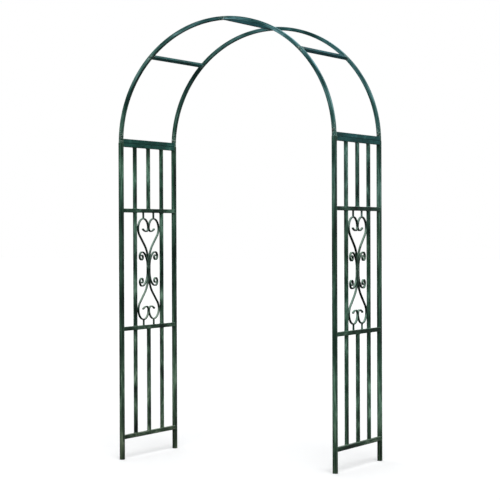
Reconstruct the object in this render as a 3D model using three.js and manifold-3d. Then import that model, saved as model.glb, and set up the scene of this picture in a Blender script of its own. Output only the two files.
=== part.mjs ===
// A free-standing garden arch of painted square steel tube: two side panels with bars and
// scrollwork, and a round top in two halves that plugs onto the posts.
// Millimetres. X runs across the passage, Y from front to back, Z up from the ground.
import * as THREE from 'three';
import { mergeVertices } from 'three/addons/utils/BufferGeometryUtils.js';
import Module from 'manifold-3d';

const wasm = await Module();
wasm.setup();

// Overall shape, between centre lines
const ARCH_WIDTH = 1200;
const ARCH_DEPTH = 534;
const SPRING_HEIGHT = 1620; // where the round top stands on the posts
const HOOP_RADIUS = ARCH_WIDTH / 2;

// Stock: square tube, and flat bar for the scrolls
const POST_TUBE = 20;
const HOOP_TUBE = 18;
const BAR_TUBE = 16;
const SCROLL_BAR_WIDTH = 10; // square to the panel
const SCROLL_BAR_THICKNESS = 6.5; // in the panel's plane
const STUB_BAR = 8; // square bar between a scroll's lobes and the rails
const TUBE_WALL = 1;
const WELD_GAP = 0.3;

// Heights of the rails' centre lines
const BOTTOM_RAIL_HEIGHT = 113;
const LOWER_RAIL_HEIGHT = 667;
const UPPER_RAIL_HEIGHT = 1274;
const SEAM_GAP = 1; // between a panel's top rail and the base rail of the round top
const TOP_RAIL_HEIGHT = SPRING_HEIGHT - (SEAM_GAP + POST_TUBE) / 2;
const BASE_RAIL_HEIGHT = SPRING_HEIGHT + (SEAM_GAP + POST_TUBE) / 2;
const BAR_PITCH = ARCH_DEPTH / 4;

// Scrollwork, measured outward from the panel's middle line and up from its mid height
const SCROLL_MIDDLE = (LOWER_RAIL_HEIGHT + UPPER_RAIL_HEIGHT) / 2;
const SCROLL_LINE = (SCROLL_BAR_THICKNESS + WELD_GAP) / 2; // a main scroll's waist
const LOBE_REACH = 103;
const LOBE_RADIUS = 52;
const WAIST_STRAIGHT = 32;
const WAIST_RADIUS = 135;
const WAIST_TURN = 44;
const HOOK_RADIUS = 19;
const HOOK_TIP_RADIUS = 52;
const HOOK_TIP_TURN = 38;
const HOOK_BUTTON_RADIUS = 4.8;
const CURL_STRAIGHT = 15.5;
// Radius and degrees of each bend of a small scroll, from its back to the middle of its curl
const CURL_BENDS = [[85, 45], [44, 45], [22.5, 90], [18, 90], [14, 90], [10, 90], [8, 60]];
const SCROLL_STEP = 8;
const CURL_STEP = 6.5; // a curl is bent tighter, so it has shorter steps

// Round top
const CROSS_BAR_ANGLE = 45.5; // degrees above the spring line
const CROWN_GAP = 3;
const CROWN_BAR_OFFSET = 5;
const HOOP_STEPS = 28;

// Joints
const SPIGOT_TUBE = 15; // slides inside the hoops, which are 16 mm inside
const SPIGOT_BELOW = 45;
const SPIGOT_ABOVE = 48;
const SPIGOT_STEPS = 12;
const SLEEVE_LENGTH = 110;
const SLEEVE_STEPS = 10;
const BOLT_RISE = 31; // above the spring line
const BOLT_RADIUS = 3;
const BOLT_HEAD_RADIUS = 5.7;
const BOLT_HEAD_HEIGHT = 4;
const BOLT_LENGTH = 29;
const WASHER_THICKNESS = 1.6;
const SCREW_RADIUS = 2.5;
const SCREW_LENGTH = 31;
const SCREW_HEAD_RADIUS = 5;
const SCREW_HEAD_HEIGHT = 2.8;
const SCREW_HEAD_STEPS = 4; // along its domed edge
const SCREW_SOCKET_RADIUS = 1.7;
const SCREW_SOCKET_DEPTH = 1.6;
const HOLE_CLEARANCE = 0.35;
const PLUG_LENGTH = 16;
const ROUND_SIDES = 16;
const HEX_SIDES = 6;

const UP = Math.PI / 2;
const ALONG_Y = new THREE.Euler(-UP, 0, 0);
const HALF_TURN = new THREE.Euler(0, 0, Math.PI);

const panelPaint = new THREE.MeshStandardMaterial({ color: 0x2c4f3f, roughness: 0.55, metalness: 0.2 });
const topPaint = new THREE.MeshStandardMaterial({ color: 0x2f5558, roughness: 0.5, metalness: 0.2 });
const scrollPaint = new THREE.MeshStandardMaterial({ color: 0x24392f, roughness: 0.6, metalness: 0.2 });
const bareSteel = new THREE.MeshStandardMaterial({ color: 0x8a8d8c, roughness: 0.4, metalness: 0.9 });
const zinc = new THREE.MeshStandardMaterial({ color: 0xb4b8b6, roughness: 0.35, metalness: 0.9 });

const arch = new THREE.Group();

// A scroll's centre line: arcs and straights laid end to end in an upright plane that faces
// along X. It sets out upward from mid height, and is mirrored below.
class ScrollCurve extends THREE.Curve {
  constructor(start, stretches, side) {
    super();
    this.start = start;
    this.stretches = stretches;
    this.side = side;
    this.half = stretches.reduce((sum, stretch) => sum + stretch.length, 0);
  }

  // How far out and up the bar has got to, after a distance along its upper half
  reach(distance) {
    let out = this.start;
    let up = 0;
    let heading = UP;
    for (const { length, curvature } of this.stretches) {
      const run = Math.min(length, distance);
      const next = heading + run * curvature;
      out += curvature ? (Math.sin(next) - Math.sin(heading)) / curvature : run * Math.cos(heading);
      up += curvature ? (Math.cos(heading) - Math.cos(next)) / curvature : run * Math.sin(heading);
      heading = next;
      distance -= run;
    }
    return { out, up };
  }

  getPoint(t, target = new THREE.Vector3()) {
    const fromMiddle = (2 * t - 1) * this.half;
    const { out, up } = this.reach(Math.abs(fromMiddle));
    return target.set(0, this.side * out, Math.sign(fromMiddle) * up);
  }
}

// Part of a circle about the Y axis, from one angle above the spring line to another
class HoopCurve extends THREE.Curve {
  constructor(from, to) {
    super();
    this.from = from;
    this.to = to;
  }

  getPoint(t, target = new THREE.Vector3()) {
    const angle = THREE.MathUtils.lerp(this.from, this.to, t);
    return target.set(HOOP_RADIUS * Math.cos(angle), 0, HOOP_RADIUS * Math.sin(angle));
  }
}

// A spigot's centre line: straight in the post, then along the hoop
class SpigotCurve extends THREE.Curve {
  getPoint(t, target = new THREE.Vector3()) {
    const height = THREE.MathUtils.lerp(-SPIGOT_BELOW, SPIGOT_ABOVE, t);
    const angle = Math.max(height, 0) / HOOP_RADIUS;
    const out = HOOP_RADIUS * (Math.cos(angle) - 1);
    return target.set(out, 0, height < 0 ? height : HOOP_RADIUS * Math.sin(angle));
  }
}

function straight(length) {
  return { length, curvature: 0 };
}

// A bend through so many degrees; a positive one turns inward over the middle line
function bend(radius, degrees) {
  const turn = THREE.MathUtils.degToRad(degrees);
  return { length: radius * Math.abs(turn), curvature: Math.sign(turn) / radius };
}

function rectangle(outline, width, height) {
  outline.moveTo(-width / 2, -height / 2);
  outline.lineTo(width / 2, -height / 2);
  outline.lineTo(width / 2, height / 2);
  outline.lineTo(-width / 2, height / 2);
  outline.closePath();
  return outline;
}

function tubeSection(size) {
  const inside = size - 2 * TUBE_WALL;
  const section = rectangle(new THREE.Shape(), size, size);
  section.holes.push(rectangle(new THREE.Path(), inside, inside));
  return section;
}

// Straight lengths lie along Z about their middle
function straightTube(size, length) {
  const tube = new THREE.ExtrudeGeometry(tubeSection(size), { depth: length, bevelEnabled: false });
  return tube.translate(0, 0, -length / 2);
}

function alongCurve(section, path, steps) {
  return new THREE.ExtrudeGeometry(section, { steps, extrudePath: path, bevelEnabled: false });
}

function box(width, depth, height) {
  return new THREE.BoxGeometry(width, depth, height);
}

// A round rod along Y through a point
function rodAlongY(radius, length, x, y, z, sides = ROUND_SIDES) {
  return new THREE.CylinderGeometry(radius, radius, length, sides).translate(x, y, z);
}

function toSolid(geometry) {
  const bare = geometry.clone();
  bare.deleteAttribute('normal');
  bare.deleteAttribute('uv');
  const merged = mergeVertices(bare, 1e-4);
  const vertProperties = Float32Array.from(merged.attributes.position.array);
  const triVerts = Uint32Array.from(merged.index.array);
  return new wasm.Manifold(new wasm.Mesh({ numProp: 3, vertProperties, triVerts }));
}

function toGeometry(solid) {
  const { vertProperties, triVerts } = solid.getMesh();
  const indexed = new THREE.BufferGeometry();
  indexed.setAttribute('position', new THREE.BufferAttribute(vertProperties, 3));
  indexed.setIndex(new THREE.BufferAttribute(triVerts, 1));
  const geometry = indexed.toNonIndexed();
  geometry.computeVertexNormals();
  return geometry;
}

function joined(geometry, ...additions) {
  return toGeometry(additions.reduce((solid, added) => solid.add(toSolid(added)), toSolid(geometry)));
}

function cut(geometry, ...tools) {
  return toGeometry(tools.reduce((solid, tool) => solid.subtract(toSolid(tool)), toSolid(geometry)));
}

function place(name, geometry, material, x, y, z, turn) {
  const mesh = new THREE.Mesh(geometry, material);
  mesh.name = name;
  mesh.position.set(x, y, z);
  if (turn) mesh.rotation.copy(turn);
  arch.add(mesh);
  return mesh;
}

function addPost(side, face) {
  const length = SPRING_HEIGHT - WELD_GAP / 2;
  const post = straightTube(POST_TUBE, length);
  const x = side.sign * ARCH_WIDTH / 2;
  const y = face.sign * ARCH_DEPTH / 2;
  place(`${side.name}_${face.name}_post`, post, panelPaint, x, y, length / 2);
}

function addRails(side) {
  const rails = {
    bottom_rail: BOTTOM_RAIL_HEIGHT,
    lower_rail: LOWER_RAIL_HEIGHT,
    upper_rail: UPPER_RAIL_HEIGHT,
    top_rail: TOP_RAIL_HEIGHT,
  };
  const length = ARCH_DEPTH - POST_TUBE - 2 * WELD_GAP;
  for (const [name, height] of Object.entries(rails)) {
    const rail = straightTube(POST_TUBE, length);
    place(`${side.name}_${name}`, rail, panelPaint, side.sign * ARCH_WIDTH / 2, 0, height, ALONG_Y);
  }
}

// Upright bars between two rails; the middle section leaves its centre to the scrolls
function addBars(side) {
  const three = { front: -1, centre: 0, back: 1 };
  const two = { front: -1, back: 1 };
  const sections = [
    { name: 'lower', from: BOTTOM_RAIL_HEIGHT, to: LOWER_RAIL_HEIGHT, places: three },
    { name: 'middle', from: LOWER_RAIL_HEIGHT, to: UPPER_RAIL_HEIGHT, places: two },
    { name: 'upper', from: UPPER_RAIL_HEIGHT, to: TOP_RAIL_HEIGHT, places: three },
  ];
  for (const { name, from, to, places } of sections) {
    const length = to - from - POST_TUBE - 2 * WELD_GAP;
    for (const [position, pitches] of Object.entries(places)) {
      const bar = straightTube(BAR_TUBE, length);
      const x = side.sign * ARCH_WIDTH / 2;
      const label = `${side.name}_${name}_bar_${position}`;
      place(label, bar, panelPaint, x, pitches * BAR_PITCH, (from + to) / 2);
    }
  }
}

// A bar of the scrolls' section, bent along a curve
function bentBar(curve, step) {
  const section = rectangle(new THREE.Shape(), SCROLL_BAR_WIDTH, SCROLL_BAR_THICKNESS);
  return alongCurve(section, curve, Math.round(2 * curve.half / step));
}

// One half of the heart-shaped scrollwork: lobes at both ends, a narrow waist in the middle.
// Stubs hold the lobes' peaks to the rails, and the hooks end in forged buttons.
function mainScroll(sign) {
  const waistRise = WAIST_RADIUS * (1 - Math.cos(THREE.MathUtils.degToRad(WAIST_TURN)));
  const climb = THREE.MathUtils.degToRad(90 - WAIST_TURN);
  const lobeRise = LOBE_RADIUS * (1 - Math.sin(climb));
  const climbLength = (LOBE_REACH - SCROLL_LINE - waistRise - lobeRise) / Math.cos(climb);
  const peak = LOBE_REACH - LOBE_RADIUS;
  const curve = new ScrollCurve(SCROLL_LINE, [
    straight(WAIST_STRAIGHT),
    bend(WAIST_RADIUS, -WAIST_TURN),
    straight(climbLength),
    bend(LOBE_RADIUS, 90 + WAIST_TURN),
    bend(peak - SCROLL_LINE, 90),
    bend(HOOK_RADIUS, 90),
    bend(HOOK_TIP_RADIUS, HOOK_TIP_TURN),
  ], sign);

  const railFace = (UPPER_RAIL_HEIGHT - LOWER_RAIL_HEIGHT - POST_TUBE) / 2 - WELD_GAP;
  const lobeTop = WAIST_STRAIGHT
    + WAIST_RADIUS * Math.cos(climb)
    + climbLength * Math.sin(climb)
    + LOBE_RADIUS * (1 + Math.cos(climb));
  const stubLength = railFace - lobeTop;
  const tip = curve.reach(curve.half);
  const details = [];
  for (const end of [-1, 1]) {
    const stub = box(STUB_BAR, STUB_BAR, stubLength);
    details.push(stub.translate(0, sign * peak, end * (lobeTop + stubLength / 2)));
    const button = rodAlongY(HOOK_BUTTON_RADIUS, SCROLL_BAR_WIDTH, 0, 0, 0);
    details.push(button.rotateZ(UP).translate(0, sign * tip.out, end * tip.up));
  }
  return joined(bentBar(curve, SCROLL_STEP), ...details);
}

// A C-shaped scroll whose back stands against a main scroll's waist, curled up at both ends
function smallScroll(sign) {
  const curve = new ScrollCurve(SCROLL_LINE + SCROLL_BAR_THICKNESS + WELD_GAP, [
    straight(CURL_STRAIGHT),
    ...CURL_BENDS.map(([radius, degrees]) => bend(radius, -degrees)),
  ], sign);
  return bentBar(curve, CURL_STEP);
}

function addScrolls(side, face) {
  const x = side.sign * ARCH_WIDTH / 2;
  const label = `${side.name}_${face.name}`;
  place(`${label}_main_scroll`, mainScroll(face.sign), scrollPaint, x, 0, SCROLL_MIDDLE);
  place(`${label}_small_scroll`, smallScroll(face.sign), scrollPaint, x, 0, SCROLL_MIDDLE);
}

// A hole along Y through a hoop or a spigot, at a height above the spring line
function boltHole() {
  const angle = BOLT_RISE / HOOP_RADIUS;
  const x = HOOP_RADIUS * Math.cos(angle);
  const z = HOOP_RADIUS * Math.sin(angle);
  return rodAlongY(BOLT_RADIUS + HOLE_CLEARANCE, 2 * HOOP_TUBE, x, 0, z);
}

function crossBarCentre() {
  const angle = THREE.MathUtils.degToRad(CROSS_BAR_ANGLE);
  return { x: HOOP_RADIUS * Math.cos(angle), z: HOOP_RADIUS * Math.sin(angle) };
}

// A quarter hoop with holes for its joint bolt and its cross bar's screw
function addHoop(side, face) {
  const start = WELD_GAP / 2 / HOOP_RADIUS;
  const end = UP - CROWN_GAP / 2 / HOOP_RADIUS;
  const tube = alongCurve(tubeSection(HOOP_TUBE), new HoopCurve(start, end), HOOP_STEPS);
  const bar = crossBarCentre();
  const screwHole = rodAlongY(SCREW_RADIUS + HOLE_CLEARANCE, 2 * HOOP_TUBE, bar.x, 0, bar.z);
  const hoop = cut(tube, boltHole(), screwHole);
  const y = face.sign * ARCH_DEPTH / 2;
  const turn = side.sign < 0 ? HALF_TURN : undefined;
  place(`${side.name}_${face.name}_hoop`, hoop, topPaint, 0, y, SPRING_HEIGHT, turn);
}

function addBaseRail(side) {
  const rail = straightTube(POST_TUBE, ARCH_DEPTH - HOOP_TUBE - 2 * WELD_GAP);
  const x = side.sign * HOOP_RADIUS;
  place(`${side.name}_base_rail`, rail, panelPaint, x, 0, BASE_RAIL_HEIGHT, ALONG_Y);
}

// A cross bar of the round top, with a drilled plug welded into each end
function addCrossBar(side) {
  const length = ARCH_DEPTH - HOOP_TUBE - 2 * WELD_GAP;
  const inside = HOOP_TUBE - 2 * TUBE_WALL;
  const bar = cut(
    box(HOOP_TUBE, length, HOOP_TUBE),
    box(inside, length - 2 * PLUG_LENGTH, inside),
    rodAlongY(SCREW_RADIUS + HOLE_CLEARANCE, 2 * length, 0, 0, 0),
  );
  const centre = crossBarCentre();
  const tilt = new THREE.Euler(0, -side.sign * THREE.MathUtils.degToRad(CROSS_BAR_ANGLE), 0);
  const z = SPRING_HEIGHT + centre.z;
  place(`${side.name}_cross_bar`, bar, topPaint, side.sign * centre.x, 0, z, tilt);
}

function addCrownBar() {
  const bar = straightTube(HOOP_TUBE, ARCH_DEPTH - HOOP_TUBE - 2 * WELD_GAP);
  place('crown_cross_bar', bar, topPaint, CROWN_BAR_OFFSET, 0, SPRING_HEIGHT + HOOP_RADIUS, ALONG_Y);
}

function addSpigot(side, face) {
  const tube = alongCurve(tubeSection(SPIGOT_TUBE), new SpigotCurve(), SPIGOT_STEPS);
  const hole = boltHole().translate(-HOOP_RADIUS, 0, 0);
  const spigot = cut(tube, hole);
  const x = side.sign * HOOP_RADIUS;
  const y = face.sign * ARCH_DEPTH / 2;
  const turn = side.sign < 0 ? HALF_TURN : undefined;
  place(`${side.name}_${face.name}_spigot`, spigot, bareSteel, x, y, SPRING_HEIGHT, turn);
}

// The sleeve inside both quarter hoops at the crown
function addCrownSleeve(face) {
  const half = SLEEVE_LENGTH / 2 / HOOP_RADIUS;
  const curve = new HoopCurve(UP - half, UP + half);
  const sleeve = alongCurve(tubeSection(SPIGOT_TUBE), curve, SLEEVE_STEPS);
  const y = face.sign * ARCH_DEPTH / 2;
  place(`crown_${face.name}_sleeve`, sleeve, bareSteel, 0, y, SPRING_HEIGHT);
}

// Fasteners lie along Y, with the head outside and its seat at their origin
function addJointBolt(side, face) {
  const seat = WASHER_THICKNESS;
  const overlap = BOLT_HEAD_HEIGHT / 2;
  const head = rodAlongY(BOLT_HEAD_RADIUS, BOLT_HEAD_HEIGHT, 0, seat + overlap, 0, HEX_SIDES);
  const shankLength = BOLT_LENGTH + overlap;
  const shank = rodAlongY(BOLT_RADIUS, shankLength, 0, seat + overlap - shankLength / 2, 0);
  const bolt = joined(head, shank);
  const angle = BOLT_RISE / HOOP_RADIUS;
  const x = side.sign * HOOP_RADIUS * Math.cos(angle);
  const y = face.sign * (ARCH_DEPTH + HOOP_TUBE) / 2;
  const z = SPRING_HEIGHT + HOOP_RADIUS * Math.sin(angle);
  const turn = face.sign < 0 ? HALF_TURN : undefined;
  place(`${side.name}_${face.name}_joint_bolt`, bolt, zinc, x, y, z, turn);
}

// Half the outline of a button-head screw, turned about the Y axis
function screwProfile() {
  const shoulder = SCREW_HEAD_RADIUS * 0.9;
  const flat = SCREW_HEAD_RADIUS * 0.5;
  const profile = new THREE.Path();
  profile.moveTo(0, -SCREW_LENGTH);
  profile.lineTo(SCREW_RADIUS, -SCREW_LENGTH);
  profile.lineTo(SCREW_RADIUS, WELD_GAP);
  profile.lineTo(SCREW_HEAD_RADIUS, WELD_GAP);
  profile.quadraticCurveTo(shoulder, SCREW_HEAD_HEIGHT, flat, SCREW_HEAD_HEIGHT);
  profile.lineTo(0, SCREW_HEAD_HEIGHT);
  return profile.getPoints(SCREW_HEAD_STEPS);
}

function addCrossBarScrew(side, face) {
  const body = new THREE.LatheGeometry(screwProfile(), ROUND_SIDES);
  const depth = 2 * SCREW_SOCKET_DEPTH;
  const socket = rodAlongY(SCREW_SOCKET_RADIUS, depth, 0, SCREW_HEAD_HEIGHT, 0, HEX_SIDES);
  const screw = cut(body, socket);
  const centre = crossBarCentre();
  const x = side.sign * centre.x;
  const y = face.sign * (ARCH_DEPTH + HOOP_TUBE) / 2;
  const z = SPRING_HEIGHT + centre.z;
  const turn = face.sign < 0 ? HALF_TURN : undefined;
  place(`${side.name}_${face.name}_cross_bar_screw`, screw, zinc, x, y, z, turn);
}

const sides = [{ name: 'left', sign: -1 }, { name: 'right', sign: 1 }];
const faces = [{ name: 'front', sign: -1 }, { name: 'back', sign: 1 }];

for (const side of sides) {
  addRails(side);
  addBars(side);
  addBaseRail(side);
  addCrossBar(side);
  for (const face of faces) {
    addPost(side, face);
    addScrolls(side, face);
    addHoop(side, face);
    addSpigot(side, face);
    addJointBolt(side, face);
    addCrossBarScrew(side, face);
  }
}
addCrownBar();
faces.forEach(addCrownSleeve);

export default arch;
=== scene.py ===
"""Looks of the metal trellis arch: brushed antique paint on square tube, weld beads and fasteners."""
import math
import random
import zlib

import bpy
from mathutils import Matrix, Vector, noise


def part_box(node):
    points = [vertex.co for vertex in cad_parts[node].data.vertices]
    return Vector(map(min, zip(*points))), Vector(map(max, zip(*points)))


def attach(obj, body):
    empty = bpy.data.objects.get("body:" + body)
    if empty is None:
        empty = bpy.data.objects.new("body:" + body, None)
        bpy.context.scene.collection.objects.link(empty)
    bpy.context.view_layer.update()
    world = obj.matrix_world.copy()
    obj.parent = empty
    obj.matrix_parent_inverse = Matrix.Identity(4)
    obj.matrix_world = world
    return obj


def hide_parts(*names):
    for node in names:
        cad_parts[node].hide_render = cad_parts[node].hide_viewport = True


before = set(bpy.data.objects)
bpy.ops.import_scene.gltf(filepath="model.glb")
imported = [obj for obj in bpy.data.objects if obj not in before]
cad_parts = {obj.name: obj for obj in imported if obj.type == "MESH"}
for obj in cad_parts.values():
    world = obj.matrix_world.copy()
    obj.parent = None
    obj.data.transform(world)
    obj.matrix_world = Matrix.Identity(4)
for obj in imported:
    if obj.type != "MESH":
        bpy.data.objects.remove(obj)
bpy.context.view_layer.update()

MM = 0.001
SIDES = {"left": -1, "right": 1}
FACES = {"front": -1, "back": 1}
X_AXIS = Vector((1, 0, 0))
Y_AXIS = Vector((0, 1, 0))
Z_AXIS = Vector((0, 0, 1))

# Stock sizes, as in the solids
POST_TUBE = 20 * MM
HOOP_TUBE = 18 * MM
BAR_TUBE = 16 * MM
TUBE_WALL = 1 * MM
WELD_GAP = 0.3 * MM
SCROLL_WIDTH = 10 * MM  # square to the panel
SCROLL_THICKNESS = 6.5 * MM  # in the panel's plane
STUB_BAR = 8 * MM

# How the edges are rounded, and how far the paint is held back beside them
TUBE_CORNER = 1 * MM
INNER_CORNER = 0.8 * MM
SCROLL_CORNER = 0.6 * MM
TUBE_RIM = 1.1 * MM
SCROLL_RIM = 0.5 * MM

# Scrollwork: the same bends as the solids
LOBE_REACH = 103 * MM
LOBE_RADIUS = 52 * MM
WAIST_STRAIGHT = 32 * MM
WAIST_RADIUS = 135 * MM
WAIST_TURN = 44
HOOK_RADIUS = 19 * MM
HOOK_TIP_RADIUS = 52 * MM
HOOK_TIP_TURN = 38
HOOK_BUTTON_RADIUS = 4.8 * MM
CURL_STRAIGHT = 15.5 * MM
# Radius in millimetres and degrees of each bend of a small scroll, from its back to its curl
CURL_BENDS = ((85, 45), (44, 45), (22.5, 90), (18, 90), (14, 90), (10, 90), (8, 60))
SCROLL_LINE = (SCROLL_THICKNESS + WELD_GAP) / 2  # a main scroll's waist
SCROLL_STEP = 2 * MM

# Round top
CROSS_BAR_ANGLE = math.radians(45.5)
CROWN_GAP = 3 * MM
HOOP_STEP = 8 * MM
STRAIGHT_STEP = 25 * MM

# Joints: how far up a hoop its bolt sits, and how far the paint is rubbed round each joint
BOLT_RISE = 31 * MM
BOLT_WEAR = 32 * MM
SCREW_WEAR = 17 * MM
CROWN_WEAR = 20 * MM
BAR_END_WEAR = 14 * MM

# Weld beads: their radius, their steps along and round, their ripples and lumps, and how far
# above and below the middle the scrolls' waists are welded
BEAD_RADIUS = 2.1 * MM
STUB_BEAD_RADIUS = 1.4 * MM
WAIST_BEAD_RADIUS = 1.3 * MM
BEAD_STEP = 1.1 * MM
BEAD_SIDES = 7
RIPPLE_LENGTH = 2.4 * MM
LUMP_RATE = 260
WAIST_WELD_RISE = 24 * MM

# Joint bolt with its nut and washers, measured outward from the hoop's outer face
BOLT_RADIUS = 3 * MM
BOLT_TIP = -29 * MM
THREAD_START = -28.6 * MM
THREAD_PITCH = 1 * MM
THREAD_DEPTH = 0.45 * MM
BOLT_HEAD_HEIGHT = 4 * MM
NUT_HEIGHT = 5 * MM
HEXAGON_RADIUS = 5.7 * MM
HEXAGON_CHAMFER = 0.5 * MM
WASHER_THICKNESS = 1.6 * MM
WASHER_RADIUS = 6.4 * MM
WASHER_EDGE = 0.2 * MM

# Cross bar screw, measured in the same way
SCREW_RADIUS = 2.5 * MM
SCREW_TIP = -31 * MM
SCREW_HEAD_RADIUS = 5 * MM
SCREW_HEAD_HEIGHT = 2.8 * MM
SOCKET_RADIUS = 1.9 * MM
SOCKET_DEPTH = 1.6 * MM
DOME_STEPS = 7

# The camera: its place and range in metres, its lens and sensor in millimetres
CAMERA_PLACE = Vector((4.1904, -7.9619, 1.1557))
CAMERA_YAW = math.radians(27.75)
CAMERA_PITCH = math.radians(-0.547)
CAMERA_ROLL = math.radians(-0.21)
CAMERA_LENS = 127.4
CAMERA_SENSOR = 36
CAMERA_RANGE = 200

# Half the floor's width in metres
FLOOR_REACH = 60


# ---------------------------------------------------------------- camera

def add_camera():
    forward = Vector((
        -math.sin(CAMERA_YAW) * math.cos(CAMERA_PITCH),
        math.cos(CAMERA_YAW) * math.cos(CAMERA_PITCH),
        math.sin(CAMERA_PITCH),
    ))
    right = Vector((math.cos(CAMERA_YAW), math.sin(CAMERA_YAW), 0))
    up = right.cross(forward)
    c, s = math.cos(CAMERA_ROLL), math.sin(CAMERA_ROLL)
    right, up = c * right + s * up, c * up - s * right
    data = bpy.data.cameras.new("camera")
    data.lens = CAMERA_LENS
    data.sensor_width = CAMERA_SENSOR
    data.clip_end = CAMERA_RANGE
    camera = bpy.data.objects.new("camera", data)
    turn = Matrix((right, up, -forward)).transposed().to_4x4()
    camera.matrix_world = Matrix.Translation(CAMERA_PLACE) @ turn
    bpy.context.scene.collection.objects.link(camera)
    bpy.context.scene.camera = camera


add_camera()


# ---------------------------------------------------------------- materials

class Nodes:
    """Short calls for building one material's node tree."""

    def __init__(self, name):
        self.material = bpy.data.materials.new(name)
        self.material.use_nodes = True
        self.tree = self.material.node_tree
        self.shader = self.tree.nodes["Principled BSDF"]

    def add(self, kind, **settings):
        node = self.tree.nodes.new(kind)
        for key, value in settings.items():
            setattr(node, key, value)
        return node

    def plug(self, source, target):
        self.tree.links.new(source, target)

    def value(self, target, source):
        if isinstance(source, (int, float)):
            target.default_value = source
        else:
            self.plug(source, target)

    def math(self, operation, a, b):
        node = self.add("ShaderNodeMath", operation=operation)
        self.value(node.inputs[0], a)
        self.value(node.inputs[1], b)
        return node.outputs[0]

    def attribute(self, name, output):
        return self.add("ShaderNodeAttribute", attribute_name=name).outputs[output]

    def stretched(self, source, scale):
        node = self.add("ShaderNodeVectorMath", operation="MULTIPLY")
        self.plug(source, node.inputs[0])
        node.inputs[1].default_value = scale
        return node.outputs[0]

    def noise(self, source, scale, detail=2.0, roughness=0.5):
        """Soft noise. scale is its cells per metre along each of the source's three ways."""
        node = self.add("ShaderNodeTexNoise", noise_dimensions="3D")
        self.plug(self.stretched(source, scale), node.inputs["Vector"])
        node.inputs["Scale"].default_value = 1.0
        node.inputs["Detail"].default_value = detail
        node.inputs["Roughness"].default_value = roughness
        return node.outputs[0]

    def spread(self, source, low, high):
        """Takes low to high smoothly onto 0 to 1."""
        node = self.add("ShaderNodeMapRange", interpolation_type="SMOOTHSTEP")
        self.plug(source, node.inputs[0])
        node.inputs["From Min"].default_value = low
        node.inputs["From Max"].default_value = high
        return node.outputs[0]

    def ramp(self, source, stops):
        node = self.add("ShaderNodeValToRGB")
        self.plug(source, node.inputs[0])
        elements = node.color_ramp.elements
        while len(elements) < len(stops):
            elements.new(1.0)
        for element, (place, colour) in zip(elements, stops):
            element.position = place
            element.color = (*colour, 1)
        return node.outputs[0]

    def mix(self, factor, a, b, blend_type="MIX"):
        node = self.add("ShaderNodeMix", data_type="RGBA", blend_type=blend_type)
        self.value(node.inputs[0], factor)
        for socket, colour in ((node.inputs[6], a), (node.inputs[7], b)):
            if isinstance(colour, tuple):
                socket.default_value = (*colour, 1)
            else:
                self.plug(colour, socket)
        return node.outputs[2]

    def bump(self, height, distance):
        node = self.add("ShaderNodeBump")
        node.inputs["Distance"].default_value = distance
        self.plug(height, node.inputs["Height"])
        self.plug(node.outputs[0], self.shader.inputs["Normal"])


# How dark the paint is painted with height, and what it leans towards up and across the arch:
# darker and browner near the ground, green at the left, bluer at the right and in the round top.
# This is partly the paint's own uneven tone and partly painted light: the round top is painted
# lighter and bluer for bluish light from above and the right, and the low parts warmer. The scales
# turn metres up and across into the stops' places, and the noise lets the borders wander.
HEIGHT_SCALE = 0.43
HEIGHT_TONE_AND_PAINTED_LIGHT = (
    (0.00, (0.90, 0.72, 0.68)),
    (0.06, (1.00, 0.90, 0.88)),
    (0.12, (1.04, 1.04, 1.04)),
    (0.24, (0.94, 0.94, 0.94)),
    (0.36, (0.84, 0.84, 0.84)),
    (0.50, (0.80, 0.80, 0.80)),
    (0.57, (1.08, 1.08, 1.08)),
    (0.95, (1.36, 1.36, 1.36)),
)
ACROSS_SCALE = 0.20
DRIFT_TINTS_AND_PAINTED_LIGHT = (
    (0.00, (1.42, 1.00, 0.96)),
    (0.30, (1.12, 1.00, 1.00)),
    (0.48, (1.04, 1.00, 1.00)),
    (0.58, (1.10, 1.00, 0.94)),
    (0.72, (1.12, 1.00, 1.18)),
    (0.80, (1.05, 1.00, 1.15)),
    (0.95, (1.00, 1.00, 1.40)),
)
WANDER = 0.16
WANDER_RATE = 4

# Cells of the paint's noises per metre: across and along the metal, or every way
STROKE_RATE = 26
STREAK_RATE = 240
STREAKS_PER_STROKE = 2.4
HAIR_RATES = (1400, 28, 1)
SPECK_RATES = (150, 130, 1)
PEEL_RATE = 420
STREAK_SHARE = 0.65
HAIR_SHARE = 0.35

BRUISE = (0.006, 0.012, 0.010)
PRIMER = (0.33, 0.44, 0.37)


def even(rate):
    return (rate, rate, rate)


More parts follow.
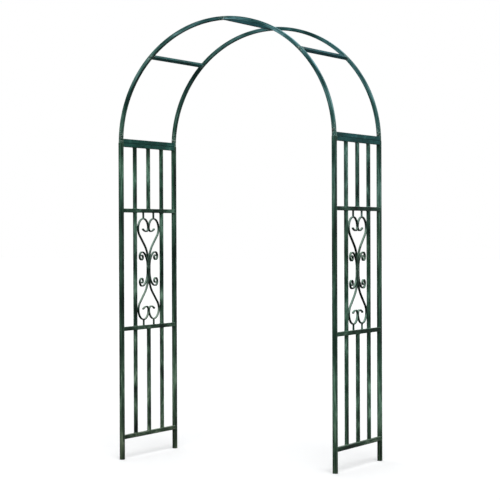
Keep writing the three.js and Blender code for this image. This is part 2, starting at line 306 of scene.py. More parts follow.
def antique_paint(name, shades, patch, low=0.36, high=0.64, broad=0.55, painted_top_light=0.1, gloss=0.42):
    """Dark paint with a lighter coat brushed on along the metal, held back at the corners.

    shades run from the dark ground to the palest strokes, spread over low to high of the
    noise. patch is a stroke's length in metres, broad the share of broad strokes in the noise,
    the top-light share how much paler faces that look up are painted, a painted highlight
    from light above, and gloss the lowest roughness."""
    n = Nodes(name)
    grain = n.attribute("grain", "Vector")
    rim = n.attribute("rim", "Fac")
    worn = n.attribute("worn", "Fac")
    surface = n.add("ShaderNodeNewGeometry")
    place = surface.outputs["Position"]
    normal = n.add("ShaderNodeSeparateXYZ")
    n.plug(surface.outputs["Normal"], normal.inputs[0])

    strokes = n.noise(grain, (STROKE_RATE, 1 / patch, 1), detail=5, roughness=0.55)
    streaks = n.noise(grain, (STREAK_RATE, STREAKS_PER_STROKE / patch, 1), detail=5, roughness=0.55)
    hairs = n.noise(grain, HAIR_RATES, detail=2, roughness=0.6)
    amount = n.math("MULTIPLY", strokes, broad)
    amount = n.math("ADD", amount, n.math("MULTIPLY", streaks, STREAK_SHARE * (1 - broad)))
    amount = n.math("ADD", amount, n.math("MULTIPLY", hairs, HAIR_SHARE * (1 - broad)))
    amount = n.math("SUBTRACT", amount, n.math("MULTIPLY", rim, 0.03))
    # Faces that look up are painted paler: a painted highlight from light falling from above.
    amount = n.math("ADD", amount, n.math("MULTIPLY", normal.outputs["Z"], painted_top_light))
    amount = n.spread(amount, low, high)
    colour = n.ramp(amount, [(i / (len(shades) - 1), shade) for i, shade in enumerate(shades)])

    wander = n.math("MULTIPLY", n.noise(place, even(WANDER_RATE)), WANDER)
    # These ramps multiply in the paint's own drift of tone together with painted light: lighter and
    # bluer at the top and right, warmer low down.
    for across, stops in ((0.0, HEIGHT_TONE_AND_PAINTED_LIGHT), (ACROSS_SCALE, DRIFT_TINTS_AND_PAINTED_LIGHT)):
        along = n.add("ShaderNodeVectorMath", operation="DOT_PRODUCT")
        n.plug(place, along.inputs[0])
        along.inputs[1].default_value = (across, 0, HEIGHT_SCALE)
        drift = n.math("ADD", along.outputs["Value"], wander)
        drift = n.math("SUBTRACT", drift, WANDER / 2)
        colour = n.mix(1.0, colour, n.ramp(drift, stops), "MULTIPLY")

    # Round the joints the paint is bruised dark in spots, and chipped to its pale primer in others
    rubbed = n.spread(worn, 0.05, 0.4)
    specks = n.noise(grain, SPECK_RATES, detail=5, roughness=0.65)
    bruises = n.math("MULTIPLY", n.spread(specks, 0.44, 0.38), rubbed)
    colour = n.mix(n.math("MULTIPLY", bruises, 0.7), colour, BRUISE)
    specks = n.math("ADD", specks, n.math("MULTIPLY", worn, 0.03))
    chips = n.math("MULTIPLY", n.spread(specks, 0.56, 0.60), rubbed)
    colour = n.mix(n.math("MULTIPLY", chips, 0.85), colour, PRIMER)
    n.plug(colour, n.shader.inputs["Base Color"])

    rough = n.math("ADD", gloss, n.math("MULTIPLY", amount, 0.16))
    rough = n.math("ADD", rough, n.math("MULTIPLY", hairs, 0.1))
    n.plug(rough, n.shader.inputs["Roughness"])
    n.shader.inputs["Specular IOR Level"].default_value = 0.1
    n.shader.inputs["Specular Tint"].default_value = (0.50, 0.92, 0.78, 1)
    peel = n.noise(place, even(PEEL_RATE), detail=2)
    relief = n.math("ADD", n.math("MULTIPLY", hairs, 0.6), n.math("MULTIPLY", peel, 0.5))
    relief = n.math("SUBTRACT", relief, n.math("MULTIPLY", chips, 0.8))
    n.bump(relief, 0.12 * MM)
    return n.material


GRIME_RATE = 260
STEEL_GRAIN_RATE = 1800


def plated_steel(name, tone, dirt, gloss):
    """Plated or drawn steel: a fine grain, and grime or oxide in soft spots."""
    n = Nodes(name)
    place = n.add("ShaderNodeNewGeometry").outputs["Position"]
    cloud = n.noise(place, even(GRIME_RATE), detail=4, roughness=0.6)
    fine = n.noise(place, even(STEEL_GRAIN_RATE), detail=2)
    spots = n.spread(cloud, 0.46, 0.68)
    n.plug(n.mix(n.math("MULTIPLY", spots, 0.75), tone, dirt), n.shader.inputs["Base Color"])
    n.shader.inputs["Metallic"].default_value = 0.85
    rough = n.math("ADD", gloss, n.math("MULTIPLY", spots, 0.25))
    n.plug(n.math("ADD", rough, n.math("MULTIPLY", fine, 0.12)), n.shader.inputs["Roughness"])
    n.bump(n.math("ADD", cloud, n.math("MULTIPLY", fine, 0.5)), 0.08 * MM)
    return n.material


# Each paint's shades, from the dark ground to the palest strokes
PANEL_SHADES = (
    (0.003, 0.008, 0.006),
    (0.020, 0.056, 0.036),
    (0.050, 0.130, 0.085),
    (0.185, 0.370, 0.270),
)
HOOP_SHADES = (
    (0.002, 0.009, 0.007),
    (0.018, 0.066, 0.047),
    (0.050, 0.136, 0.100),
    (0.175, 0.350, 0.280),
)
DEEP_SHADES = (
    (0.002, 0.016, 0.013),
    (0.008, 0.056, 0.046),
    (0.019, 0.098, 0.082),
    (0.085, 0.230, 0.195),
)
SCROLL_SHADES = (
    (0.003, 0.006, 0.004),
    (0.008, 0.024, 0.016),
    (0.038, 0.090, 0.067),
    (0.200, 0.330, 0.265),
)


def darker(shades, share):
    return tuple(tuple(share * number for number in shade) for shade in shades)


bar_paint = antique_paint("bar_paint", PANEL_SHADES, patch=0.14, low=0.37, high=0.63)
post_paint = antique_paint("post_paint", PANEL_SHADES, patch=0.35, low=0.37, high=0.67, broad=0.42)
rail_paint = antique_paint("rail_paint", darker(PANEL_SHADES, 0.62), patch=0.25, broad=0.42, painted_top_light=0.06)
deep_paint = antique_paint(
    "deep_paint", DEEP_SHADES, patch=0.20, low=0.30, high=0.74, broad=0.42, painted_top_light=0.0)
# The left hoops' paint is a darker copy of the right hoops': painted shade on the left half of the round
# top.
hoop_paints_left_shaded = {
    side: antique_paint(f"{side}_hoop_paint", shades, patch=0.22, broad=0.50, painted_top_light=0.05)
    for side, shades in (("left", darker(HOOP_SHADES, 0.80)), ("right", HOOP_SHADES))
}
scroll_paint = antique_paint("scroll_paint", SCROLL_SHADES, patch=0.08, painted_top_light=0.25, gloss=0.34)
inner_steel = plated_steel("inner_steel", (0.20, 0.20, 0.19), (0.05, 0.035, 0.025), 0.4)
zinc = plated_steel("zinc", (0.20, 0.26, 0.23), (0.035, 0.050, 0.042), 0.38)


# ---------------------------------------------------------------- shapes

SHARP_ANGLE = math.radians(38)
TURNED_RIM = 0.3
BEAD_RIM = 0.6
BEAD_WORN = 0.35


class Shell:
    """Closed shells that make up one piece.

    grain is each face corner's distance round and along the metal, which the strokes follow.
    rim is 1 at a rounded edge and 0 on a flat, and worn is 1 where the paint is rubbed most."""

    def __init__(self, name):
        self.name = name
        self.points = []
        self.rims = []
        self.worn = []
        self.faces = []
        self.grain = []
        # Every piece starts at its own distance, so that no two have the same strokes
        self.offset = (zlib.crc32(name.encode()) % 10007) * 0.0137

    def point(self, place, rim=0.0, worn=0.0):
        self.points.append(place)
        self.rims.append(rim)
        self.worn.append(worn)
        return len(self.points) - 1

    def face(self, corners, grain):
        self.faces.append(corners)
        self.grain.extend(grain)

    def sweep(self, path, across, section, inside=None, spots=()):
        """Carries a section along a path of (point, direction, distance). inside makes a tube.

        Each of spots is the middle of a rubbed spot and its reach."""
        rings = [self._rings(path, across, section, spots)]
        if inside:
            rings.append(self._rings(path, across, inside, ()))
        for layer, (indices, outline) in enumerate(zip(rings, (section, inside))):
            for i in range(len(path) - 1):
                self._band(indices[i], indices[i + 1], outline, path[i][2], path[i + 1][2], layer)
        for end, flip in ((0, True), (-1, False)):
            distance = path[end][2]
            if inside:
                self._rim_face(rings[0][end], rings[1][end], section, distance, flip)
            else:
                grain = [(p[0], self.offset + distance + p[1]) for p in section]
                self._end_face(rings[0][end], grain, flip)

    def _rings(self, path, across, section, spots):
        rings = []
        for place, direction, _ in path:
            beside = direction.cross(across)
            wear = [math.exp(-((place - spot).length / reach) ** 2) for spot, reach in spots]
            worn = max(wear, default=0.0)
            rings.append([
                self.point(place + a * across + b * beside, rim, worn)
                for a, b, rim, _ in section
            ])
        return rings

    def _end_face(self, ring, grain, flip):
        corners = list(ring)
        if flip:
            corners.reverse()
            grain.reverse()
        self.face(corners, grain)

    def _band(self, low, high, section, start, end, inward):
        count = len(section)
        perimeter = 2 * section[-1][3] - section[-2][3]
        for j in range(count):
            k = (j + 1) % count
            left, right = section[j][3], section[k][3] if k else perimeter
            corners = [low[j], low[k], high[k], high[j]]
            grain = [(left, start), (right, start), (right, end), (left, end)]
            grain = [(u, self.offset + v) for u, v in grain]
            if inward:
                corners.reverse()
                grain.reverse()
            self.face(corners, grain)

    def _rim_face(self, outer, inner, section, distance, flip):
        count = len(section)
        for j in range(count):
            k = (j + 1) % count
            corners = [outer[j], outer[k], inner[k], inner[j]]
            near, far = section[j][3], section[j][3] + MM
            start, end = self.offset + distance, self.offset + distance + MM
            grain = [(near, start), (far, start), (far, end), (near, end)]
            if flip:
                corners.reverse()
                grain.reverse()
            self.face(corners, grain)

    def turned(self, place, axis, rings, sides=36, loop=False):
        """A turned shape about a level axis. Each ring is (height, radius, hexagon): a hexagon of
        1 is a full hexagon with that radius at its corners. A loop joins its last ring to its
        first."""
        beside = axis.cross(Z_AXIS).normalized()
        third = axis.cross(beside)
        indices = []
        travelled = 0.0
        lengths = []
        for n, (height, radius, hexagon) in enumerate(rings):
            if n:
                travelled += math.hypot(height - rings[n - 1][0], radius - rings[n - 1][1])
            lengths.append(travelled)
            ring = []
            for j in range(sides):
                angle = 2 * math.pi * j / sides
                from_flat = angle % (math.pi / 3) - math.pi / 6
                flat = math.cos(math.pi / 6) / math.cos(from_flat)
                reach = radius * (1 - hexagon + hexagon * flat)
                away = math.cos(angle) * beside + math.sin(angle) * third
                ring.append(self.point(place + height * axis + reach * away, TURNED_RIM))
            indices.append(ring)
        pairs = list(zip(range(len(rings)), range(1, len(rings))))
        if loop:
            pairs.append((len(rings) - 1, 0))
        for low, high in pairs:
            for j in range(sides):
                k = (j + 1) % sides
                u0, u1 = (2 * math.pi * rings[low][1] * t / sides for t in (j, j + 1))
                v0, v1 = (self.offset + lengths[n] for n in (low, high))
                self.face([indices[low][j], indices[low][k], indices[high][k], indices[high][j]],
                          [(u0, v0), (u1, v0), (u1, v1), (u0, v1)])
        if not loop:
            self._caps(indices)

    def _caps(self, rings):
        for ring, flip in ((rings[0], True), (rings[-1], False)):
            self._end_face(ring, [(0.0, self.offset)] * len(ring), flip)

    def bead(self, path, radius, closed, seed):
        """A weld bead along a path of points, rippled as it was laid."""
        count = len(path)
        rings = []
        travelled = 0.0
        distances = []
        for i, place in enumerate(path):
            ahead = path[(i + 1) % count] if closed or i < count - 1 else place
            behind = path[i - 1] if closed or i else place
            along = (ahead - behind).normalized()
            if i:
                travelled += (place - path[i - 1]).length
            distances.append(travelled)
            ripple = 1 + 0.10 * math.sin(2 * math.pi * travelled / RIPPLE_LENGTH + seed)
            lump = 0.3 * noise.noise(place * LUMP_RATE + Vector((seed, 0, 0)))
            taper = 1.0
            if not closed:
                to_end = min(i, count - 1 - i) / 2
                taper = 0.45 + 0.55 * min(1.0, to_end)
            if abs(along.x) > 0.9:
                first = along.orthogonal().normalized()
            else:
                first = along.cross(X_AXIS).normalized()
            second = along.cross(first)
            size = radius * taper * (ripple + lump)
            ring = []
            for j in range(BEAD_SIDES):
                angle = 2 * math.pi * j / BEAD_SIDES
                away = math.cos(angle) * first + math.sin(angle) * second
                ring.append(self.point(place + size * away, BEAD_RIM, BEAD_WORN))
            rings.append(ring)
        spans = count if closed else count - 1
        for i in range(spans):
            low, high = rings[i], rings[(i + 1) % count]
            # The next ring may be turned against this one, so they join where they are nearest
            first = self.points[low[0]]
            shift = min(range(BEAD_SIDES), key=lambda s: (first - self.points[high[s]]).length)
            v0 = self.offset + distances[i]
            v1 = v0 + BEAD_STEP
            for j in range(BEAD_SIDES):
                k = (j + 1) % BEAD_SIDES
                u0, u1 = radius * j, radius * (j + 1)
                far_k, far_j = high[(k + shift) % BEAD_SIDES], high[(j + shift) % BEAD_SIDES]
                self.face([low[j], low[k], far_k, far_j], [(u0, v0), (u1, v0), (u1, v1), (u0, v1)])
        if not closed:
            self._caps(rings)

    def finish(self, material, slot, *nodes):
        """Makes the piece. nodes are the solids that it stands for."""
        mesh = bpy.data.meshes.new(self.name)
        mesh.from_pydata(self.points, [], self.faces)
        grain = mesh.attributes.new("grain", "FLOAT_VECTOR", "CORNER")
        flat = [number for u, v in self.grain for number in (u, v, 0.0)]
        grain.data.foreach_set("vector", flat)
        for name, values in (("rim", self.rims), ("worn", self.worn)):
            mesh.attributes.new(name, "FLOAT", "POINT").data.foreach_set("value", values)
        mesh.shade_smooth()
        mesh.set_sharp_from_angle(angle=SHARP_ANGLE)
        mesh.materials.append(material)
        piece = bpy.data.objects.new(self.name, mesh)
        bpy.context.scene.collection.objects.link(piece)
        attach(piece, "root")
        if nodes:
            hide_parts(*nodes)


def rounded(width, height, corner, lead, arcs=4):
    """Points round a rounded rectangle: (across, up, rim, distance round).

    The rim fades out over lead beside each corner, which has arcs steps."""
    points = []
    quarter = math.pi / 2
    for turn, (sx, sy) in enumerate(((1, 1), (-1, 1), (-1, -1), (1, -1))):
        cx, cy = sx * (width / 2 - corner), sy * (height / 2 - corner)
        arc = []
        for step in range(arcs + 1):
            angle = quarter * (turn + step / arcs)
            arc.append((cx + corner * math.cos(angle), cy + corner * math.sin(angle), 1.0))
        before = (-math.sin(quarter * turn), math.cos(quarter * turn))
        after = (-math.sin(quarter * (turn + 1)), math.cos(quarter * (turn + 1)))
        points.append((arc[0][0] - lead * before[0], arc[0][1] - lead * before[1], 0.0))
        points.extend(arc)
        points.append((arc[-1][0] + lead * after[0], arc[-1][1] + lead * after[1], 0.0))
    distance = 0.0
    outline = []
    for index, (x, y, rim) in enumerate(points):
        if index:
            distance += math.hypot(x - points[index - 1][0], y - points[index - 1][1])
        outline.append((x, y, rim, distance))
    return outline


def tube_sections(size):
    inside = size - 2 * TUBE_WALL
    outer = rounded(size, size, TUBE_CORNER, TUBE_RIM)
    return outer, rounded(inside, inside, INNER_CORNER, TUBE_RIM)


def straight_path(start, end):
    span = end - start
    steps = max(1, round(span.length / STRAIGHT_STEP))
    direction = span.normalized()
    shares = [i / steps for i in range(steps + 1)]
    return [(start + span * share, direction, span.length * share) for share in shares]


def straight_tube(node, size, material, slot, spots=(), turn=0.0):
    """A finer tube in place of a straight one of the solids. turn is about the Y axis."""
    low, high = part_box(node)
    centre, extent = (low + high) / 2, high - low
    axis = Z_AXIS if extent.z > extent.y else Y_AXIS
    half = extent.dot(axis) / 2
    across = Matrix.Rotation(turn, 3, "Y") @ X_AXIS
    shell = Shell(f"{node}_tube")
    section, inside = tube_sections(size)
    path = straight_path(centre - half * axis, centre + half * axis)
    shell.sweep(path, across, section, inside, spots)
    shell.finish(material, slot, node)


# ---------------------------------------------------------------- places, from the solids

def middle(node):
    low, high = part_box(node)
    return (low + high) / 2


POST_X = middle("right_front_post").x
POST_Y = middle("right_back_post").y
# SPRING is the height at which the hoops stand on the posts
SPRING = (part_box("right_front_post")[1].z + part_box("right_front_hoop")[0].z) / 2
SCROLL_MIDDLE = (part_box("right_lower_rail")[1].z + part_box("right_upper_rail")[0].z) / 2
CROSS_X = POST_X * math.cos(CROSS_BAR_ANGLE)
CROSS_Z = SPRING + POST_X * math.sin(CROSS_BAR_ANGLE)
CROWN_Z = SPRING + POST_X
BOLT_ANGLE = BOLT_RISE / POST_X
BOLT_X = POST_X * math.cos(BOLT_ANGLE)
BOLT_Z = SPRING + POST_X * math.sin(BOLT_ANGLE)


# ---------------------------------------------------------------- tubes

def add_straight_tubes():
    for side in SIDES:
        for face in FACES:
            straight_tube(f"{side}_{face}_post", POST_TUBE, post_paint, "panel_paint")
        for rail in ("bottom_rail", "lower_rail", "upper_rail"):
            straight_tube(f"{side}_{rail}", POST_TUBE, rail_paint, "panel_paint")
        straight_tube(f"{side}_top_rail", POST_TUBE, deep_paint, "panel_paint")
        straight_tube(f"{side}_base_rail", POST_TUBE, deep_paint, "panel_paint")
        for section, places in (
            ("lower", ("front", "centre", "back")),
            ("middle", ("front", "back")),
            ("upper", ("front", "centre", "back")),
        ):
            for place in places:
                straight_tube(f"{side}_{section}_bar_{place}", BAR_TUBE, bar_paint, "panel_paint")


def add_cross_bars():
    for node, turn in (
        ("left_cross_bar", CROSS_BAR_ANGLE),
        ("right_cross_bar", -CROSS_BAR_ANGLE),
        ("crown_cross_bar", 0.0),
    ):
        low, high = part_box(node)
        centre = (low + high) / 2
        spots = [(Vector((centre.x, y, centre.z)), BAR_END_WEAR) for y in (low.y, high.y)]
        straight_tube(node, HOOP_TUBE, deep_paint, "top_paint", spots, turn)


def hoop_path(sign, y):
    start = WELD_GAP / 2 / POST_X
    end = math.pi / 2 - CROWN_GAP / 2 / POST_X
    steps = round((end - start) * POST_X / HOOP_STEP)
    path = []
    for i in range(steps + 1):
        angle = start + (end - start) * i / steps
        place = Vector((sign * POST_X * math.cos(angle), y, SPRING + POST_X * math.sin(angle)))
        direction = Vector((-sign * math.sin(angle), 0, math.cos(angle)))
        path.append((place, direction, POST_X * angle))
    return path


def add_hoops():
    section, inside = tube_sections(HOOP_TUBE)
    for side, sign in SIDES.items():
        for face, depth in FACES.items():
            y = depth * POST_Y
            node = f"{side}_{face}_hoop"
            spots = [
                (Vector((sign * BOLT_X, y, BOLT_Z)), BOLT_WEAR),
                (Vector((sign * CROSS_X, y, CROSS_Z)), SCREW_WEAR),
                (Vector((0, y, CROWN_Z)), CROWN_WEAR),
            ]
            shell = Shell(f"{node}_tube")
            shell.sweep(hoop_path(sign, y), Y_AXIS, section, inside, spots)
            shell.finish(hoop_paints_left_shaded[side], "top_paint", node)


# ---------------------------------------------------------------- scrollwork

def straight(length):
    """A stretch of a scroll: its length and curvature."""
    return length, 0.0


def bend(radius, degrees):
    turn = math.radians(degrees)
    return radius * abs(turn), math.copysign(1 / radius, turn)


def scroll_reach(start, stretches, distance):
    """Where the upper half of a scroll has got to: outward, upward and its heading."""
    out, up, heading = start, 0.0, math.pi / 2
    for length, curvature in stretches:
        run = min(length, distance)
        after = heading + run * curvature
        if curvature:
            out += (math.sin(after) - math.sin(heading)) / curvature
            up += (math.cos(heading) - math.cos(after)) / curvature
        else:
            out += run * math.cos(heading)
            up += run * math.sin(heading)
        heading = after
        distance -= run
    return out, up, heading


def scroll_path(x, sign, start, stretches):
    """A whole scroll's centre line: its upper half, mirrored below its middle."""
    half = sum(length for length, _ in stretches)
    steps = round(half / SCROLL_STEP)
    path = []
    for i in range(-steps, steps + 1):
        out, up, heading = scroll_reach(start, stretches, half * abs(i) / steps)
        way = -1 if i < 0 else 1
        place = Vector((x, sign * out, SCROLL_MIDDLE + way * up))
        direction = Vector((0, sign * way * math.cos(heading), math.sin(heading)))
        path.append((place, direction, half * i / steps))
    return path


def button_profile(half_width):
    """The forged button at a hook's end, with its edges eased."""
    edge = 1.2 * MM
    ease = 0.3 * edge
    half = [
        (half_width - edge, HOOK_BUTTON_RADIUS, 0),
        (half_width - ease, HOOK_BUTTON_RADIUS - ease, 0),
        (half_width, HOOK_BUTTON_RADIUS - edge, 0),
    ]
    return [(-height, radius, hexagon) for height, radius, hexagon in reversed(half)] + half


def add_scrolls():
    climb = math.radians(90 - WAIST_TURN)
    waist_rise = WAIST_RADIUS * (1 - math.cos(math.radians(WAIST_TURN)))
    lobe_rise = LOBE_RADIUS * (1 - math.sin(climb))
    climb_length = (LOBE_REACH - SCROLL_LINE - waist_rise - lobe_rise) / math.cos(climb)
    peak = LOBE_REACH - LOBE_RADIUS
    main = [
        straight(WAIST_STRAIGHT),
        bend(WAIST_RADIUS, -WAIST_TURN),
        straight(climb_length),
        bend(LOBE_RADIUS, 90 + WAIST_TURN),
        bend(peak - SCROLL_LINE, 90),
        bend(HOOK_RADIUS, 90),
        bend(HOOK_TIP_RADIUS, HOOK_TIP_TURN),
    ]
    small = [straight(CURL_STRAIGHT)] + [bend(radius * MM, -degrees) for radius, degrees in CURL_BENDS]
    small_start = SCROLL_LINE + SCROLL_THICKNESS + WELD_GAP
    lobe_top = (
        WAIST_STRAIGHT
        + WAIST_RADIUS * math.cos(climb)
        + climb_length * math.sin(climb)
        + LOBE_RADIUS * (1 + math.cos(climb))
    )
    rail_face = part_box("right_upper_rail")[0].z - SCROLL_MIDDLE
    bar = rounded(SCROLL_WIDTH, SCROLL_THICKNESS, SCROLL_CORNER, SCROLL_RIM)
    stub_bar = rounded(STUB_BAR, STUB_BAR, SCROLL_CORNER, SCROLL_RIM)
    button_rings = button_profile(SCROLL_WIDTH / 2)
    tip_out, tip_up, _ = scroll_reach(SCROLL_LINE, main, sum(length for length, _ in main))
    for side, x_sign in SIDES.items():
        x = x_sign * POST_X
        for face, sign in FACES.items():
            node = f"{side}_{face}_main_scroll"
            shell = Shell(f"{node}_bar")
            shell.sweep(scroll_path(x, sign, SCROLL_LINE, main), X_AXIS, bar)
            for way in (-1, 1):
                ends = sorted((way * lobe_top, way * rail_face))
                stub = [Vector((x, sign * peak, SCROLL_MIDDLE + z)) for z in ends]
                shell.sweep(straight_path(*stub), X_AXIS, stub_bar)
                button = Vector((x, sign * tip_out, SCROLL_MIDDLE + way * tip_up))
                shell.turned(button, X_AXIS, button_rings, sides=24)
            shell.finish(scroll_paint, "scroll_paint", node)
            node = f"{side}_{face}_small_scroll"
            shell = Shell(f"{node}_bar")
            shell.sweep(scroll_path(x, sign, small_start, small), X_AXIS, bar)
            shell.finish(scroll_paint, "scroll_paint", node)


# ---------------------------------------------------------------- welds

BEAD_CORNER = 1.5 * MM
BEAD_LEAD = 0.2 * MM
# How far inside the tube's faces a bead's middle line runs
RAIL_BEAD_INSET = 0.6 * MM
BASE_RAIL_BEAD_INSET = 0.4 * MM
CROWN_BEAD_INSET = 0.6 * MM


def loop_round(centre, axis, half_a, half_b):
    """Points round a bar's end, square to its axis: half_a along X, half_b along the third way."""
    other = axis.cross(X_AXIS)
    outline = rounded(2 * half_a, 2 * half_b, BEAD_CORNER, BEAD_LEAD, arcs=3)
    corners = [centre + a * X_AXIS + b * other for a, b, _, _ in outline]
    points = []
    for place, after in zip(corners, corners[1:] + corners[:1]):
        span = after - place
        steps = max(1, round(span.length / BEAD_STEP))
        points.extend(place + span * (i / steps) for i in range(steps))
    return points


def line_between(start, end):
    span = end - start
    steps = max(4, round(span.length / BEAD_STEP))
    return [start + span * (i / steps) for i in range(steps + 1)]


def add_panel_welds(side, x, dice):
    shell = Shell(f"{side}_panel_welds")
    for section in ("lower", "middle", "upper"):
        for place in ("front", "centre", "back"):
            node = f"{side}_{section}_bar_{place}"
            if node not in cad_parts:
                continue
            low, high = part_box(node)
            for z in (low.z, high.z):
                centre = Vector((x, (low.y + high.y) / 2, z))
                shell.bead(loop_round(centre, Z_AXIS, BAR_TUBE / 2, BAR_TUBE / 2),
                           BEAD_RADIUS * dice.uniform(0.8, 1.15), True, dice.uniform(0, 50))
    half = POST_TUBE / 2 - RAIL_BEAD_INSET
    for rail in ("bottom_rail", "lower_rail", "upper_rail", "top_rail"):
        low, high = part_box(f"{side}_{rail}")
        for y in (low.y, high.y):
            centre = Vector((x, y, (low.z + high.z) / 2))
            shell.bead(loop_round(centre, Y_AXIS, half, half),
                       BEAD_RADIUS * dice.uniform(0.7, 0.95), True, dice.uniform(0, 50))
    rail_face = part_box(f"{side}_upper_rail")[0].z - SCROLL_MIDDLE
    peak = LOBE_REACH - LOBE_RADIUS
    for sign in FACES.values():
        for way in (-1, 1):
            centre = Vector((x, sign * peak, SCROLL_MIDDLE + way * rail_face))
            shell.bead(loop_round(centre, Z_AXIS, STUB_BAR / 2, STUB_BAR / 2),
                       STUB_BEAD_RADIUS, True, dice.uniform(0, 50))
    shell.finish(bar_paint, "panel_paint")


def add_scroll_welds(side, x, dice):
    """Short beads on both edges of the bars, where the scrolls' backs touch."""
    shell = Shell(f"{side}_scroll_welds")
    back = SCROLL_LINE + SCROLL_THICKNESS / 2
    places = [(0.0, -WAIST_WELD_RISE), (0.0, 0.0), (back, 0.0), (-back, 0.0), (0.0, WAIST_WELD_RISE)]
    for edge in (-SCROLL_WIDTH / 2, SCROLL_WIDTH / 2):
        for y, z in places:
            run = dice.uniform(4, 6) * MM
            centre = Vector((x + edge, y, SCROLL_MIDDLE + z))
            shell.bead(line_between(centre - run * Z_AXIS, centre + run * Z_AXIS),
                       WAIST_BEAD_RADIUS, False, dice.uniform(0, 50))
    shell.finish(scroll_paint, "scroll_paint")


def add_top_welds(side, x, dice):
    shell = Shell(f"{side}_top_welds")
    low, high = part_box(f"{side}_base_rail")
    half_x = HOOP_TUBE / 2 - BASE_RAIL_BEAD_INSET
    half_z = POST_TUBE / 2 - BASE_RAIL_BEAD_INSET
    for y in (low.y, high.y):
        centre = Vector((x, y, (low.z + high.z) / 2))
        shell.bead(loop_round(centre, Y_AXIS, half_x, half_z),
                   BEAD_RADIUS * 0.8, True, dice.uniform(0, 50))
    if side == "right":
        low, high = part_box("crown_cross_bar")
        half = HOOP_TUBE / 2 - CROWN_BEAD_INSET
        for y in (low.y, high.y):
            centre = Vector(((low.x + high.x) / 2, y, (low.z + high.z) / 2))
            shell.bead(loop_round(centre, Y_AXIS, half, half),
                       BEAD_RADIUS * 0.7, True, dice.uniform(0, 50))
    shell.finish(hoop_paints_left_shaded[side], "top_paint")


def add_welds():
    dice = random.Random(7)
    for side, sign in SIDES.items():
        add_panel_welds(side, sign * POST_X, dice)
        add_scroll_welds(side, sign * POST_X, dice)
        add_top_welds(side, sign * POST_X, dice)


# ---------------------------------------------------------------- fasteners

def hexagon_rings(start, height):
    """Rings of a bolt's head or nut, from its near face to its far one."""
    chamfer = 0.6 * HEXAGON_CHAMFER
    inner = HEXAGON_RADIUS - HEXAGON_CHAMFER
    return [
        (start, inner, 0.55),
        (start + chamfer, HEXAGON_RADIUS, 1),
        (start + height - chamfer, HEXAGON_RADIUS, 1),
        (start + height, inner, 0.55),
    ]


def add_joint_bolt(label, seat, outward, node):
    shell = Shell(f"{label}_bolt")
    rings = [(BOLT_TIP + WASHER_THICKNESS, BOLT_RADIUS - 0.5 * MM, 0)]
    thread = THREAD_START + WASHER_THICKNESS
    while thread < -HOOP_TUBE - WASHER_THICKNESS:
        rings.append((thread, BOLT_RADIUS, 0))
        rings.append((thread + THREAD_PITCH / 2, BOLT_RADIUS - THREAD_DEPTH, 0))
        thread += THREAD_PITCH
    under_head = HEXAGON_RADIUS - 0.6 * MM
    rings += [
        (-HOOP_TUBE, BOLT_RADIUS, 0),
        (WASHER_THICKNESS, BOLT_RADIUS, 0),
        (WASHER_THICKNESS, under_head, 0),
    ]
    rings += hexagon_rings(WASHER_THICKNESS, BOLT_HEAD_HEIGHT)[1:]
    rings.append((WASHER_THICKNESS + BOLT_HEAD_HEIGHT - 0.2 * MM, 3.2 * MM, 0))
    shell.turned(seat, outward, rings)
    shell.finish(zinc, "fasteners", node)


def add_bolt_washers(label, seat, outward):
    shell = Shell(f"{label}_bolt_washers")
    inner, outer = BOLT_RADIUS + 0.2 * MM, WASHER_RADIUS
    for start in (0.0, -HOOP_TUBE - WASHER_THICKNESS):
        end = start + WASHER_THICKNESS
        shell.turned(seat, outward, [
            (start, inner, 0),
            (start, outer - WASHER_EDGE, 0),
            (start + WASHER_EDGE, outer, 0),
            (end - WASHER_EDGE, outer, 0),
            (end, outer - WASHER_EDGE, 0),
            (end, inner, 0),
        ], loop=True)
    shell.finish(zinc, "fasteners")


def add_nut(label, seat, outward):
    shell = Shell(f"{label}_nut")
    base = -HOOP_TUBE - WASHER_THICKNESS - NUT_HEIGHT
    bore = BOLT_RADIUS + 0.1 * MM
    rings = [(base, bore, 0), *hexagon_rings(base, NUT_HEIGHT), (base + NUT_HEIGHT, bore, 0)]
    shell.turned(seat, outward, rings, loop=True)
    shell.finish(zinc, "fasteners")


def add_cross_bar_screw(label, seat, outward, node):
    """A screw with a domed head and a hexagon socket."""
    shell = Shell(f"{label}_screw")
    clearance = 0.3 * MM
    brim = 0.5 * MM
    rings = [
        (SCREW_TIP, SCREW_RADIUS - 0.4 * MM, 0),
        (SCREW_TIP + 0.5 * MM, SCREW_RADIUS, 0),
        (clearance, SCREW_RADIUS, 0),
        (clearance, SCREW_HEAD_RADIUS - 0.1 * MM, 0),
    ]
    crest = SOCKET_RADIUS + 0.5 * MM
    for step in range(DOME_STEPS):
        angle = math.pi / 2 * step / DOME_STEPS
        height = brim + (SCREW_HEAD_HEIGHT - brim) * math.sin(angle)
        rings.append((height, crest + (SCREW_HEAD_RADIUS - crest) * math.cos(angle), 0))
    rings += [
        (SCREW_HEAD_HEIGHT, SOCKET_RADIUS + 0.4 * MM, 0),
        (SCREW_HEAD_HEIGHT - 0.2 * MM, SOCKET_RADIUS, 1),
        (SCREW_HEAD_HEIGHT - SOCKET_DEPTH, SOCKET_RADIUS, 1),
    ]
    shell.turned(seat, outward, rings)
    shell.finish(zinc, "fasteners", node)


def add_fasteners():
    for side, sign in SIDES.items():
        for face, depth in FACES.items():
            label = f"{side}_{face}"
            outward = depth * Y_AXIS
            outer_face = depth * (POST_Y + HOOP_TUBE / 2)
            seat = Vector((sign * BOLT_X, outer_face, BOLT_Z))
            add_joint_bolt(label, seat, outward, f"{label}_joint_bolt")
            add_bolt_washers(label, seat, outward)
            add_nut(label, seat, outward)
            seat = Vector((sign * CROSS_X, outer_face, CROSS_Z))
            add_cross_bar_screw(label, seat, outward, f"{label}_cross_bar_screw")


# ---------------------------------------------------------------- stage

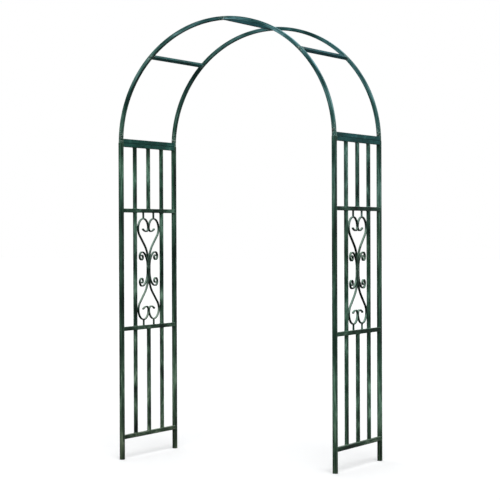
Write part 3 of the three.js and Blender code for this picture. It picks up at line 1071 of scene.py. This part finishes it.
def add_floor():
    mesh = bpy.data.meshes.new("floor")
    corners = [(FLOOR_REACH * x, FLOOR_REACH * y, 0) for x, y in ((-1, -1), (1, -1), (1, 1), (-1, 1))]
    mesh.from_pydata(corners, [], [(0, 1, 2, 3)])
    n = Nodes("floor")
    place = n.add("ShaderNodeNewGeometry").outputs["Position"]
    mottle = n.noise(place, even(3), detail=3)
    n.plug(n.mix(mottle, (0.79, 0.79, 0.79), (0.81, 0.81, 0.81)), n.shader.inputs["Base Color"])
    n.shader.inputs["Roughness"].default_value = 0.9
    n.shader.inputs["Specular IOR Level"].default_value = 0.0
    n.shader.inputs["Emission Color"].default_value = (1, 1, 1, 1)
    n.shader.inputs["Emission Strength"].default_value = 0.05
    mesh.materials.append(n.material)
    floor = bpy.data.objects.new("floor", mesh)
    bpy.context.scene.collection.objects.link(floor)
    floor.visible_diffuse = False
    floor.visible_glossy = False


def add_sun(name, direction, strength, width):
    """An even light from one side, as wide across the sky as a large softbox."""
    data = bpy.data.lights.new(name, "SUN")
    data.energy = strength
    data.angle = math.radians(width)
    light = bpy.data.objects.new(name, data)
    light.rotation_euler = Vector(direction).to_track_quat("-Z", "Y").to_euler()
    bpy.context.scene.collection.objects.link(light)


def add_world():
    """White to the eye; what lights the metal is dimmer below than above."""
    world = bpy.data.worlds.new("world")
    bpy.context.scene.world = world
    world.use_nodes = True
    tree = world.node_tree
    tree.nodes.clear()
    new, link = tree.nodes.new, tree.links.new
    white, studio = new("ShaderNodeBackground"), new("ShaderNodeBackground")
    white.inputs["Color"].default_value = (1, 1, 1, 1)
    direction, split = new("ShaderNodeTexCoord"), new("ShaderNodeSeparateXYZ")
    link(direction.outputs["Generated"], split.inputs[0])
    spread = new("ShaderNodeMapRange")
    spread.inputs["From Min"].default_value = -1.0
    link(split.outputs["Z"], spread.inputs["Value"])
    ramp = new("ShaderNodeValToRGB")
    link(spread.outputs[0], ramp.inputs[0])
    low, high = ramp.color_ramp.elements
    low.position, low.color = 0.25, (0.22, 0.22, 0.22, 1)
    high.position, high.color = 0.90, (0.76, 0.77, 0.78, 1)
    link(ramp.outputs[0], studio.inputs["Color"])
    mix, seen = new("ShaderNodeMixShader"), new("ShaderNodeLightPath")
    link(seen.outputs["Is Camera Ray"], mix.inputs[0])
    link(studio.outputs[0], mix.inputs[1])
    link(white.outputs[0], mix.inputs[2])
    link(mix.outputs[0], new("ShaderNodeOutputWorld").inputs["Surface"])


def add_studio():
    add_floor()
    add_world()
    add_sun("key", direction=(-0.36, 0.58, -0.78), strength=1.85, width=40)
    add_sun("fill", direction=(0.62, -0.58, -0.50), strength=0.9, width=60)
    bpy.context.scene.view_settings.view_transform = "Standard"


# ---------------------------------------------------------------- the arch

add_straight_tubes()
add_cross_bars()
add_hoops()
add_scrolls()
add_welds()
add_fasteners()
for node_name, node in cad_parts.items():
    if node_name.endswith(("_spigot", "_sleeve")):
        node.data.materials.clear()
        node.data.materials.append(inner_steel)
add_studio()
